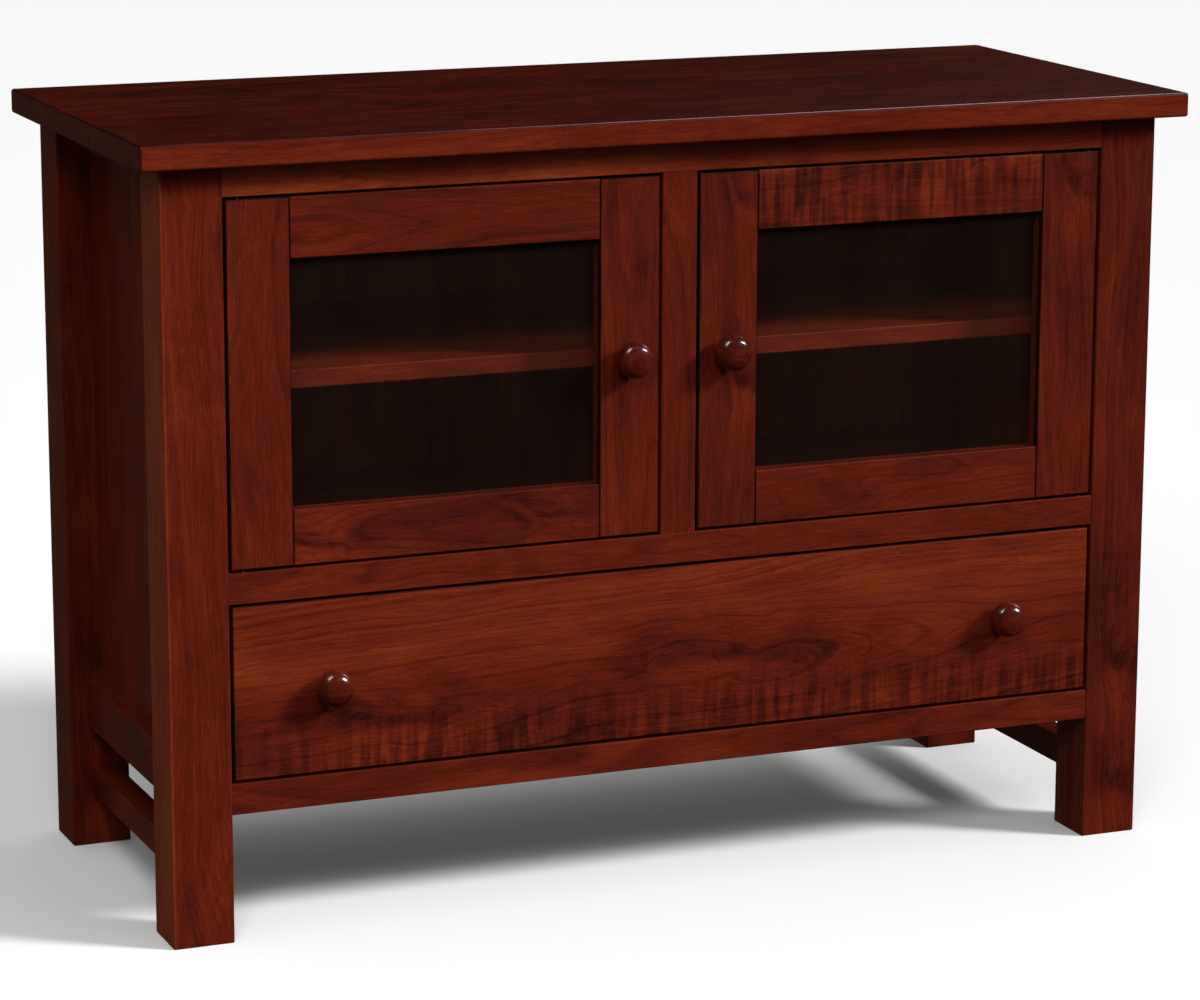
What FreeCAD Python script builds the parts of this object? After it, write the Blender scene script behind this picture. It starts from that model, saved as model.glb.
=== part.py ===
import FreeCAD, Part
import math
import os
import re

import Sketcher
from FreeCAD import Rotation, Vector

# Television console: four square posts carry a plank top. Two glazed doors open on pivots at their
# outer edges above one wide drawer on telescopic slides. Millimetres; X runs along the width, the
# front faces -Y, Z is up and Z = 0 is the floor. The origin is the middle of the footprint.

# Driving dimensions. Every one becomes a cell of the sheet under the same alias.
SIZES = {
    "top_width": 1143.0,
    "top_depth": 482.6,
    "top_thickness": 25.4,
    "top_round": 3.0,
    "back_overhang": 19.05,
    "body_width": 1092.2,
    "body_depth": 438.15,
    "front_face": -214.7,  # plane of the front faces of the posts
    "leg": 63.5,
    "leg_length": 787.4,
    "arris": 1.6,  # eased edge of the solid wood
    "board": 19.05,  # thickness of doors, drawer front, shelves, floor and partition
    "setback": 0.8,  # face frame, doors and drawer front sit this far behind the post faces
    "gap": 3.0,  # air around doors and drawer front
    "rail_height": 31.75,
    "rail_thickness": 22.2,
    "lower_rail_base": 133.35,
    "middle_rail_base": 349.25,
    "mullion_width": 38.1,
    "tenon_thickness": 9.5,
    "tenon_shoulder": 6.35,
    "tenon_edge": 4.0,
    "mullion_tenon": 15.0,
    "side_tenon": 25.4,
    "side_rail_height": 50.8,
    "side_rail_thickness": 31.75,
    "side_rail_setback": 19.05,
    "upper_side_rail_height": 25.4,
    "panel_thickness": 12.7,
    "panel_setback": 34.9,
    "groove": 8.0,
    "stretcher_height": 31.75,
    "stretcher_thickness": 25.4,
    "stretcher_setback": 22.2,
    "stretcher_base": 57.15,
    "back_recess": 12.7,
    "back_thickness": 6.35,
    "back_rabbet": 9.5,
    "cable_hole_radius": 25.4,
    "cable_hole_height": 146.05,  # above the compartment floor
    "shelf_top": 571.5,
    "shelf_setback": 47.0,
    "shelf_play": 1.5,
    "pin_radius": 2.5,
    "pin_depth": 8.0,
    "pin_reach": 9.0,
    "pin_edge": 8.5,
    "stile": 65.0,
    "door_top_rail": 61.0,
    "door_bottom_rail": 56.0,
    "door_tenon": 12.0,
    "door_edge_round": 1.1,
    "lip": 7.0,  # wood in front of the glass
    "glass": 3.2,
    "rabbet": 8.0,
    "stop_depth": 8.0,
    "glass_play": 1.0,
    "hinge_inset": 12.0,  # from the hinge edge of the door to the pin
    "hinge_back": 6.0,  # from the front of the door to the pin
    "leaf_thickness": 2.0,
    "leaf_length": 44.0,
    "leaf_width": 8.0,
    "boss_radius": 4.0,
    "boss_clearance": 0.2,
    "hinge_pin_radius": 2.4,
    "hinge_pin_play": 0.05,
    "hinge_pin_reach": 8.0,
    "catch_width": 40.0,
    "catch_height": 28.0,
    "catch_depth": 12.0,
    "catch_nose": 12.0,
    "strike_thickness": 1.2,
    "strike_air": 0.4,
    "knob_radius": 19.05,
    "knob_projection": 28.6,
    "knob_bore": 16.0,
    "drawer_knob_spacing": 756.0,
    "bolt_radius": 2.0,
    "bolt_head_radius": 4.6,
    "bolt_head_height": 2.4,
    "bolt_play": 0.2,
    "drawer_base": 178.0,
    "drawer_height": 152.4,
    "drawer_length": 355.6,
    "drawer_side": 12.7,
    "drawer_dado": 6.35,
    "drawer_bottom_rise": 9.5,
    "drawer_bottom": 6.35,
    "slide_thickness": 12.7,
    "slide_front_gap": 2.0,
    "channel": 1.2,  # thickness of the slides' sheet steel
    "outer_channel_height": 45.7,
    "middle_channel_height": 41.4,
    "inner_channel_height": 35.4,
    "outer_channel_depth": 8.0,
    "middle_channel_offset": 3.6,
    "middle_channel_depth": 7.0,
    "inner_channel_depth": 6.6,
    "cleat_height": 60.0,
    "bracket_leg": 20.0,
    "bracket_width": 25.0,
    "bracket_thickness": 2.0,
    "bracket_spacing": 760.0,
    "screw_radius": 1.8,
    "screw_length": 12.0,
    "screw_head_radius": 3.8,
    "screw_head_height": 2.0,
}

# Planes and lines that follow from the driving dimensions.
DERIVED = {
    "half_body": "body_width / 2",
    "leg_inner": "half_body - leg",
    "leg_middle": "half_body - leg / 2",
    "back_face": "front_face + body_depth",
    "front_legs_back": "front_face + leg",
    "back_legs_front": "back_face - leg",
    "frame_front": "front_face + setback",
    "frame_back": "frame_front + rail_thickness",
    "tenon_front": "frame_front + tenon_shoulder",
    "tenon_back": "tenon_front + tenon_thickness",
    "lower_rail_top": "lower_rail_base + rail_height",
    "middle_rail_top": "middle_rail_base + rail_height",
    "top_rail_base": "leg_length - rail_height",
    "half_mullion": "mullion_width / 2",
    "half_partition": "board / 2",
    "back_panel_back": "back_face - back_recess",
    "back_panel_front": "back_panel_back - back_thickness",
    "back_rail_front": "back_panel_front - rail_thickness",
    "back_tenon_front": "back_rail_front + tenon_shoulder",
    "back_tenon_back": "back_tenon_front + tenon_thickness",
    "panel_outer": "half_body - panel_setback",
    "panel_inner": "panel_outer - panel_thickness",
    "side_rail_outer": "half_body - side_rail_setback",
    "side_rail_inner": "side_rail_outer - side_rail_thickness",
    "side_rail_top": "lower_rail_base + side_rail_height",
    "upper_side_rail_base": "leg_length - upper_side_rail_height",
    "stretcher_outer": "half_body - stretcher_setback",
    "stretcher_inner": "stretcher_outer - stretcher_thickness",
    "stretcher_top": "stretcher_base + stretcher_height",
    "shelf_base": "shelf_top - board",
    "front_pin_y": "front_face + shelf_setback + pin_edge",
    "back_pin_y": "back_legs_front + leg / 2",
    "pin_z": "shelf_base - pin_radius",
    "front_back": "frame_front + board",
    "door_inner": "half_mullion + gap",
    "door_outer": "leg_inner - gap",
    "door_base": "middle_rail_top + gap",
    "door_top": "top_rail_base - gap",
    "sight_inner": "door_inner + stile",
    "sight_outer": "door_outer - stile",
    "sight_base": "door_base + door_bottom_rail",
    "sight_top": "door_top - door_top_rail",
    "glass_front": "frame_front + lip",
    "stop_front": "glass_front + glass",
    "door_knob_x": "door_inner + stile / 2",
    "door_knob_z": "(door_base + door_top) / 2",
    "hinge_x": "door_outer - hinge_inset",
    "hinge_y": "frame_front + hinge_back",
    "leaf_outer": "hinge_x + leaf_width / 2 + 1",
    "leaf_inner": "leaf_outer - leaf_length",
    "leaf_front": "hinge_y - leaf_width / 2",
    "leaf_back": "hinge_y + leaf_width / 2",
    "strike_back": "front_back + strike_thickness",
    "catch_inner": "door_knob_x - catch_width / 2",
    "catch_outer": "door_knob_x + catch_width / 2",
    "catch_base": "door_top - catch_nose",
    "drawer_front_base": "lower_rail_top + gap",
    "drawer_front_top": "middle_rail_base - gap",
    "drawer_knob_z": "(drawer_front_base + drawer_front_top) / 2",
    "drawer_top": "drawer_base + drawer_height",
    "drawer_outer": "leg_inner - slide_thickness",
    "drawer_inner": "drawer_outer - drawer_side",
    "drawer_end": "front_back + drawer_length",
    "drawer_back_front": "drawer_end - drawer_side",
    "drawer_groove_base": "drawer_base + drawer_bottom_rise",
    "drawer_groove_top": "drawer_groove_base + drawer_bottom",
    "slide_z": "drawer_base + drawer_height / 2",
    "slide_front": "front_back + slide_front_gap",
    "slide_back": "slide_front + drawer_length",
    "middle_channel_web": "leg_inner - middle_channel_offset",
}

X_AXIS = Vector(1, 0, 0)
Y_AXIS = Vector(0, 1, 0)
Z_AXIS = Vector(0, 0, 1)

doc = FreeCAD.newDocument("TelevisionConsole")
sheet = doc.addObject("Spreadsheet::Sheet", "Sizes")
for row, (alias, size) in enumerate(SIZES.items(), start=1):
    sheet.set(f"A{row}", alias)
    sheet.set(f"B{row}", str(size))
    sheet.setAlias(f"B{row}", alias)
doc.recompute()

nodes = []  # the finished sub-parts, one STEP file each


def expand(formula):
    """Write a formula of the names above in terms of the sheet's cells."""

    def cell(match):
        word = match.group(0)
        if word in DERIVED:
            return "(" + expand(DERIVED[word]) + ")"
        return "Sizes." + word

    return re.sub(r"[a-z]\w*", cell, formula)


def bind(item, prop, formula):
    item.setExpression(prop, expand(formula))


def length_of(span):
    return f"({span[1]}) - ({span[0]})"


def mirrored(side, low, high):
    """The X span from low to high, on the right (side 1) or its mirror image on the left (-1)."""
    if side > 0:
        return low, high
    return f"-({high})", f"-({low})"


def both_ways(reach):
    return f"-({reach})", reach


class Piece:
    """One sub-part, a PartDesign body made of blocks and rounds given in the cabinet's own frame."""

    def __init__(self, name, x, y, z):
        self.body = doc.addObject("PartDesign::Body", name)
        self.body.Label = name
        self.home = {"x": x, "y": y, "z": z}
        for letter, formula in self.home.items():
            bind(self.body, f"Placement.Base.{letter}", formula)

    def sketch(self, role, x, y, z):
        """An empty sketch on an origin plane of the body, moved so that its origin is at x, y, z."""
        plane = next(item for item in self.body.Origin.OriginFeatures if item.Role == role)
        sketch = self.body.newObject("Sketcher::SketchObject", f"{self.body.Name}_sketch")
        sketch.AttachmentSupport = (plane, [""])
        sketch.MapMode = "FlatFace"
        local = {
            letter: f"({formula}) - ({self.home[letter]})"
            for letter, formula in zip("xyz", (x, y, z))
        }
        offset = {
            "XY_Plane": (local["x"], local["y"], local["z"]),
            "XZ_Plane": (local["x"], local["z"], f"-({local['y']})"),
            "YZ_Plane": (local["y"], local["z"], local["x"]),
        }[role]
        for letter, formula in zip("xyz", offset):
            bind(sketch, f"AttachmentOffset.Base.{letter}", formula)
        return sketch

    def extrude(self, sketch, depth, cut, against_normal):
        kind = "Pocket" if cut else "Pad"
        feature = self.body.newObject(f"PartDesign::{kind}", f"{self.body.Name}_{kind.lower()}")
        feature.Profile = sketch
        bind(feature, "Length", depth)
        feature.Reversed = cut != against_normal
        return self

    def block(self, x, y, z, cut=False):
        """Add the block between three pairs of planes, or take it away."""
        sketch = self.sketch("XY_Plane", x[0], y[0], z[0])
        rectangle(sketch, length_of(x), length_of(y))
        return self.extrude(sketch, length_of(z), cut, False)

    def slot(self, x, y, z):
        return self.block(x, y, z, cut=True)

    def round(self, axis, centre, radius, span, cut=False):
        """Add a cylinder along x, y or z over the given span, or bore one away."""
        place = dict(zip("xyz".replace(axis, ""), centre))
        place[axis] = span[0]
        role = {"x": "YZ_Plane", "y": "XZ_Plane", "z": "XY_Plane"}[axis]
        sketch = self.sketch(role, place["x"], place["y"], place["z"])
        circle(sketch, radius)
        return self.extrude(sketch, length_of(span), cut, axis == "y")

    def bore(self, axis, centre, radius, span):
        return self.round(axis, centre, radius, span, cut=True)

    def soften(self, radius, along, keep=None):
        """Round the straight edges that run along the given axes, where keep(edge middle) holds."""
        doc.recompute()
        tip = self.body.Tip
        names = []
        for number, edge in enumerate(tip.Shape.Edges, start=1):
            run = edge.Vertexes[-1].Point - edge.Vertexes[0].Point
            run.normalize()
            lies = any(abs(getattr(run, letter)) > 0.999 for letter in along)
            if lies and (keep is None or keep(edge.CenterOfMass, tip.Shape.BoundBox)):
                names.append(f"Edge{number}")
        fillet = self.body.newObject("PartDesign::Fillet", f"{self.body.Name}_fillet")
        fillet.Base = (tip, names)
        bind(fillet, "Radius", radius)
        return self

    def finish(self):
        nodes.append(self.body)
        return self


def at_front(point, box):
    return point.y < box.YMin + 0.01


def at_bottom(point, box):
    return point.z < box.ZMin + 0.01


def rectangle(sketch, width, depth):
    """A rectangle from the sketch's origin, its two sides bound to formulas."""
    corners = [Vector(0, 0, 0), Vector(10, 0, 0), Vector(10, 10, 0), Vector(0, 10, 0)]
    for start, end in zip(corners, corners[1:] + corners[:1]):
        sketch.addGeometry(Part.LineSegment(start, end), False)
    for line in range(4):
        sketch.addConstraint(Sketcher.Constraint("Coincident", line, 2, (line + 1) % 4, 1))
        sketch.addConstraint(Sketcher.Constraint(("Horizontal", "Vertical")[line % 2], line))
    sketch.addConstraint(Sketcher.Constraint("Coincident", 0, 1, -1, 1))
    for line, formula in ((0, width), (1, depth)):
        number = sketch.addConstraint(Sketcher.Constraint("Distance", line, 10.0))
        bind(sketch, f"Constraints[{number}]", formula)


def circle(sketch, radius):
    """A circle about the sketch's origin."""
    sketch.addGeometry(Part.Circle(Vector(0, 0, 0), Z_AXIS, 5.0), False)
    sketch.addConstraint(Sketcher.Constraint("Coincident", 0, 3, -1, 1))
    number = sketch.addConstraint(Sketcher.Constraint("Radius", 0, 5.0))
    bind(sketch, f"Constraints[{number}]", radius)


def group(name, members):
    """Identical loose pieces share one node as separate solids."""
    compound = doc.addObject("Part::Compound", name)
    compound.Label = name
    compound.Links = members
    nodes.append(compound)


def copy_at(original, name, place, direction=Z_AXIS):
    """A copy of a fastener, its own +Z turned to the direction and its origin moved to the place."""
    link = doc.addObject("App::Link", name)
    link.LinkedObject = original
    link.Placement.Rotation = Rotation(Z_AXIS, direction)
    for letter, formula in zip("xyz", place):
        bind(link, f"Placement.Base.{letter}", formula)
    return link


# ---------------------------------------------------------------- carcass


def make_top():
    back = "back_face + back_overhang"
    top = Piece("top_panel", "-top_width / 2", f"{back} - top_depth", "leg_length")
    top.block(both_ways("top_width / 2"), (f"{back} - top_depth", back),
              ("leg_length", "leg_length + top_thickness"))
    top.soften("top_round", "xyz").finish()


def make_leg(side, end):
    """A post with mortises for its rails, a groove for the side panel and, behind, the back's rabbet."""
    name = f"leg_{end}_{'right' if side > 0 else 'left'}"
    width = mirrored(side, "leg_inner", "half_body")
    if end == "front":
        depth = ("front_face", "front_legs_back")
        side_mortise = ("front_legs_back - side_tenon", "front_legs_back")
        panel_groove = ("front_legs_back - groove", "front_legs_back")
        rail_mortise = ("tenon_front", "tenon_back")
        rail_bases = ("lower_rail_base", "middle_rail_base", "top_rail_base")
        pin_y = "front_pin_y"
    else:
        depth = ("back_legs_front", "back_face")
        side_mortise = ("back_legs_front", "back_legs_front + side_tenon")
        panel_groove = ("back_legs_front", "back_legs_front + groove")
        rail_mortise = ("back_tenon_front", "back_tenon_back")
        rail_bases = ("lower_rail_base", "top_rail_base")
        pin_y = "back_pin_y"
    leg = Piece(name, width[0], depth[0], "0")
    leg.block(width, depth, ("0", "leg_length"))
    leg.soften("arris", "z").soften("arris", "xy", at_bottom)
    for base in rail_bases:
        leg.slot(mirrored(side, "leg_inner", "leg_middle"), rail_mortise,
                 (f"{base} + tenon_edge", f"{base} + rail_height - tenon_edge"))
    for tenon_x, tenon_z in (SIDE_RAIL_TENON, UPPER_SIDE_RAIL_TENON, STRETCHER_TENON):
        leg.slot(mirrored(side, *tenon_x), side_mortise, tenon_z)
    leg.slot(mirrored(side, "panel_inner", "panel_outer"), panel_groove,
             ("side_rail_top - groove", "upper_side_rail_base + groove"))
    if end == "back":
        leg.slot(mirrored(side, "leg_inner", "leg_inner + back_rabbet"),
                 ("back_panel_front", "back_face"), ("lower_rail_base", "leg_length"))
    leg.bore("x", (pin_y, "pin_z"), "pin_radius", mirrored(side, "leg_inner", "leg_inner + pin_depth"))
    leg.finish()


# Across and up: where the tenons of the three members on each side lie.
SIDE_RAIL_TENON = (
    ("side_rail_inner + tenon_shoulder", "side_rail_outer - tenon_shoulder"),
    ("lower_rail_base + tenon_shoulder", "side_rail_top - groove - tenon_edge"),
)
UPPER_SIDE_RAIL_TENON = (
    ("side_rail_inner + tenon_shoulder", "side_rail_outer - tenon_shoulder"),
    ("upper_side_rail_base + groove + tenon_edge", "leg_length - tenon_edge"),
)
STRETCHER_TENON = (
    ("stretcher_inner + tenon_shoulder", "stretcher_outer - tenon_shoulder"),
    ("stretcher_base + tenon_edge", "stretcher_top - tenon_edge"),
)


def make_cross_rail(name, base, front, tenon_y):
    """A rail between left and right posts, with a tenon at each end."""
    rail = Piece(name, "-(leg_inner)", front, base)
    rail.block(both_ways("leg_inner"), (front, f"{front} + rail_thickness"),
               (base, f"{base} + rail_height"))
    rail.soften("arris / 2", "x")
    for side in (-1, 1):
        rail.block(mirrored(side, "leg_inner", "leg_middle"), tenon_y,
                   (f"{base} + tenon_edge", f"{base} + rail_height - tenon_edge"))
    return rail


def make_front_frame():
    """Three rails and the mullion, with the recesses for the door pivots and mullion tenons."""
    tenon_y = ("tenon_front", "tenon_back")
    make_cross_rail("front_lower_rail", "lower_rail_base", "frame_front", tenon_y).finish()
    middle = make_cross_rail("front_middle_rail", "middle_rail_base", "frame_front", tenon_y)
    top = make_cross_rail("front_top_rail", "top_rail_base", "frame_front", tenon_y)
    across = both_ways("half_mullion - tenon_edge")
    below = ("middle_rail_top - mullion_tenon", "middle_rail_top")
    above = ("top_rail_base", "top_rail_base + mullion_tenon")
    middle.slot(across, tenon_y, below)
    top.slot(across, tenon_y, above)
    for side in (-1, 1):
        leaf_x = mirrored(side, "leaf_inner", "leaf_outer")
        leaf_y = ("leaf_front", "leaf_back")
        middle.slot(leaf_x, leaf_y, ("middle_rail_top - leaf_thickness", "middle_rail_top"))
        top.slot(leaf_x, leaf_y, ("top_rail_base", "top_rail_base + leaf_thickness"))
    middle.finish()
    top.finish()
    mullion = Piece("centre_mullion", "-(half_mullion)", "frame_front", "middle_rail_top")
    mullion.block(both_ways("half_mullion"), ("frame_front", "frame_back"),
                  ("middle_rail_top", "top_rail_base"))
    mullion.soften("arris / 2", "z")
    mullion.block(across, tenon_y, below)
    mullion.block(across, tenon_y, above)
    mullion.finish()


def make_side(side):
    """Panel, two grooved rails and the low stretcher between a front and a back post."""
    hand = "right" if side > 0 else "left"
    between = ("front_legs_back", "back_legs_front")
    panel_x = mirrored(side, "panel_inner", "panel_outer")
    panel_y = ("front_legs_back - groove", "back_legs_front + groove")
    panel_z = ("side_rail_top - groove", "upper_side_rail_base + groove")
    panel = Piece(f"side_panel_{hand}", panel_x[0], panel_y[0], panel_z[0])
    panel.block(panel_x, panel_y, panel_z).finish()

    rails = (
        ("side_lower_rail", "side_rail", ("lower_rail_base", "side_rail_top"),
         ("side_rail_top - groove", "side_rail_top"), SIDE_RAIL_TENON),
        ("side_upper_rail", "side_rail", ("upper_side_rail_base", "leg_length"),
         ("upper_side_rail_base", "upper_side_rail_base + groove"), UPPER_SIDE_RAIL_TENON),
        ("side_stretcher", "stretcher", ("stretcher_base", "stretcher_top"), None, STRETCHER_TENON),
    )
    for name, section, height, groove_z, (tenon_x, tenon_z) in rails:
        width = mirrored(side, f"{section}_inner", f"{section}_outer")
        rail = Piece(f"{name}_{hand}", width[0], between[0], height[0])
        rail.block(width, between, height)
        rail.soften("arris / 2", "y")
        if groove_z:
            rail.slot(panel_x, between, groove_z)
        rail.block(mirrored(side, *tenon_x), ("front_legs_back - side_tenon", "front_legs_back"), tenon_z)
        rail.block(mirrored(side, *tenon_x), ("back_legs_front", "back_legs_front + side_tenon"), tenon_z)
        rail.finish()


def make_back():
    """Two rails and the thin back panel with a cable hole behind each compartment."""
    tenon_y = ("back_tenon_front", "back_tenon_back")
    make_cross_rail("back_lower_rail", "lower_rail_base", "back_rail_front", tenon_y).finish()
    make_cross_rail("back_upper_rail", "top_rail_base", "back_rail_front", tenon_y).finish()
    reach = "leg_inner + back_rabbet"
    thickness = ("back_panel_front", "back_panel_back")
    panel = Piece("back_panel", f"-({reach})", "back_panel_front", "lower_rail_base")
    panel.block(both_ways(reach), thickness, ("lower_rail_base", "leg_length"))
    for side in (-1, 1):
        hole = (f"{side} * leg_inner / 2", "middle_rail_top + cable_hole_height")
        panel.bore("y", hole, "cable_hole_radius", thickness)
    panel.finish()


def make_interior():
    """Compartment floor, upright partition and one shelf on pins in each compartment."""
    inside = ("frame_back", "back_panel_front")
    floor_z = ("middle_rail_top - board", "middle_rail_top")
    floor = Piece("cabinet_floor", "-(panel_inner)", "frame_back", floor_z[0])
    floor.block(both_ways("panel_inner"), inside, floor_z)
    for side in (-1, 1):
        notch_x = mirrored(side, "leg_inner", "panel_inner")
        floor.slot(notch_x, ("frame_back", "front_legs_back"), floor_z)
        floor.slot(notch_x, ("back_legs_front", "back_panel_front"), floor_z)
    floor.finish()

    partition = Piece("centre_partition", "-(half_partition)", "frame_back", "middle_rail_top")
    partition.block(both_ways("half_partition"), inside, ("middle_rail_top", "leg_length"))
    partition.slot(both_ways("half_partition"), ("back_rail_front", "back_panel_front"),
                   ("top_rail_base", "leg_length"))
    for pin_y in ("front_pin_y", "back_pin_y"):
        partition.bore("x", (pin_y, "pin_z"), "pin_radius", both_ways("half_partition"))
    partition.finish()

    for side in (-1, 1):
        name = f"shelf_{'right' if side > 0 else 'left'}"
        shelf_x = mirrored(side, "half_partition + shelf_play", "leg_inner - shelf_play")
        shelf_y = ("front_face + shelf_setback", "back_panel_front - shelf_play")
        shelf = Piece(name, shelf_x[0], shelf_y[0], "shelf_base")
        shelf.block(shelf_x, shelf_y, ("shelf_base", "shelf_top"))
        shelf.soften("arris", "x", at_front).finish()


def make_shelf_pins():
    """Eight steel pins: half of each sits in a post or the partition, the rest carries a shelf."""
    pin = Piece("shelf_pin_master", "0", "0", "0")
    pin.round("z", ("0", "0"), "pin_radius", ("-pin_depth", "pin_reach"))
    copies = []
    for side in (-1, 1):
        for pin_y in ("front_pin_y", "back_pin_y"):
            number = len(copies)
            post = (f"{side} * (leg_inner)", pin_y, "pin_z")
            partition = (f"{side} * (half_partition)", pin_y, "pin_z")
            copies.append(copy_at(pin.body, f"shelf_pin_{number}", post, X_AXIS * -side))
            copies.append(copy_at(pin.body, f"shelf_pin_{number + 1}", partition, X_AXIS * side))
    group("shelf_pins", copies)


# ---------------------------------------------------------------- loose fittings of the carcass


def make_top_brackets():
    """Angle brackets behind the upper rails hold the top down. Returns their screws' places."""
    lift = "leg_length - bracket_thickness"
    brackets = []
    screws = []
    for side in (-1, 1):
        for wall, away in (("frame_back", 1), ("back_rail_front", -1)):
            middle = f"{side} * bracket_spacing / 2"
            reach = f"{wall} + {away} * bracket_leg"
            web = f"{wall} + {away} * bracket_thickness"
            across = (f"{middle} - bracket_width / 2", f"{middle} + bracket_width / 2")
            flat_y = (wall, reach) if away > 0 else (reach, wall)
            web_y = (wall, web) if away > 0 else (web, wall)
            number = len(brackets)
            bracket = Piece(f"top_bracket_{number}", across[0], flat_y[0], "leg_length - bracket_leg")
            bracket.block(across, flat_y, (lift, "leg_length"))
            bracket.block(across, web_y, ("leg_length - bracket_leg", lift))
            centre = f"{wall} + {away} * (bracket_leg + bracket_thickness) / 2"
            height = "leg_length - (bracket_leg + bracket_thickness) / 2"
            bracket.bore("z", (middle, centre), "screw_radius", (lift, "leg_length"))
            bracket.bore("y", (middle, height), "screw_radius", web_y)
            brackets.append(bracket.body)
            screws.append(((middle, centre, lift), Z_AXIS))
            screws.append(((middle, web, height), Y_AXIS * -away))
    group("top_brackets", brackets)
    return screws


def back_screw_places():
    """The back is screwed to both its rails, the compartment floor and the partition."""
    places = []
    for across in (-2, -1, 1, 2):
        for height in ("lower_rail_base + rail_height / 2", "top_rail_base + rail_height / 2",
                       "middle_rail_top - board / 2"):
            places.append(((f"{across} * leg_inner / 2.2", "back_panel_back", height), Y_AXIS * -1))
    return places


def slide_screw_places():
    """Three screws hold each outer slide member: post, cleat, post."""
    places = []
    for side in (-1, 1):
        for across in ("front_legs_back - leg / 3", "(front_legs_back + back_legs_front) / 2",
                       "back_legs_front - leg / 2"):
            web = f"{side} * (leg_inner - channel)"
            places.append(((web, across, "slide_z"), X_AXIS * side))
    return places


def make_screws(places):
    """One kind of round-head wood screw holds brackets, back and slides."""
    screw = Piece("wood_screw_master", "0", "0", "0")
    screw.round("z", ("0", "0"), "screw_radius", ("0", "screw_length"))
    screw.round("z", ("0", "0"), "screw_head_radius", ("-screw_head_height", "0"))
    group("wood_screws", [
        copy_at(screw.body, f"wood_screw_{number}", place, direction)
        for number, (place, direction) in enumerate(places)
    ])


def make_catches():
    """A magnetic catch behind the top rail for each door; its nose also stops the door."""
    catches = []
    for side in (-1, 1):
        across = mirrored(side, "catch_inner", "catch_outer")
        catch = Piece(f"door_catch_{'right' if side > 0 else 'left'}", across[0], "frame_back", "catch_base")
        catch.block(across, ("frame_back", "frame_back + catch_depth"),
                    ("catch_base", "catch_base + catch_height"))
        catch.block(across, ("strike_back + strike_air", "frame_back"), ("catch_base", "door_top"))
        catches.append(catch.body)
    group("door_catches", catches)


def make_hinge_arms():
    """Pivot leaves let into the rails, each with a boss that carries the door and a pin."""
    arms = []
    for side in (-1, 1):
        leaf_x = mirrored(side, "leaf_inner", "leaf_outer")
        centre = (f"{side} * (hinge_x)", "hinge_y")
        heights = (
            ("top", ("top_rail_base", "top_rail_base + leaf_thickness"),
             ("door_top + boss_clearance", "top_rail_base"),
             ("door_top - hinge_pin_reach", "door_top + boss_clearance")),
            ("base", ("middle_rail_top - leaf_thickness", "middle_rail_top"),
             ("middle_rail_top", "door_base - boss_clearance"),
             ("door_base - boss_clearance", "door_base + hinge_pin_reach")),
        )
        for end, leaf_z, boss_z, pin_z in heights:
            name = f"hinge_arm_{'right' if side > 0 else 'left'}_{end}"
            arm = Piece(name, leaf_x[0], "leaf_front", leaf_z[0])
            arm.block(leaf_x, ("leaf_front", "leaf_back"), leaf_z)
            arm.round("z", centre, "boss_radius", boss_z)
            arm.round("z", centre, "hinge_pin_radius", pin_z)
            arms.append(arm.body)
    group("hinge_arms", arms)


# ---------------------------------------------------------------- doors


def make_knob(name, x, z):
    """A turned knob: seat, waisted neck, rounded rim and domed face, bored for its bolt."""
    knob = Piece(name, x, "frame_front", z)
    sketch = knob.sketch("XY_Plane", x, "frame_front", z)
    turned_profile(sketch)
    turn = knob.body.newObject("PartDesign::Revolution", f"{name}_turn")
    turn.Profile = sketch
    turn.ReferenceAxis = (sketch, ["V_Axis"])
    turn.Angle = 360.0
    knob.bore("y", (x, z), "bolt_radius", ("frame_front - knob_bore", "frame_front"))
    return knob


# Corners of the knob's half section: share of its radius, share of its projection, and how far
# the edge to the next corner bows out (+) or in (-) as a share of that edge's length.
KNOB_SECTION = (
    (0.00, 0.00, 0.0),
    (0.52, 0.00, 0.0),
    (0.52, 0.06, -0.12),
    (0.46, 0.22, -0.20),
    (0.92, 0.32, 0.20),
    (0.985, 0.42, 0.05),
    (0.96, 0.66, 0.14),
    (0.62, 0.93, 0.042),
    (0.00, 1.00, 0.0),
)


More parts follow.
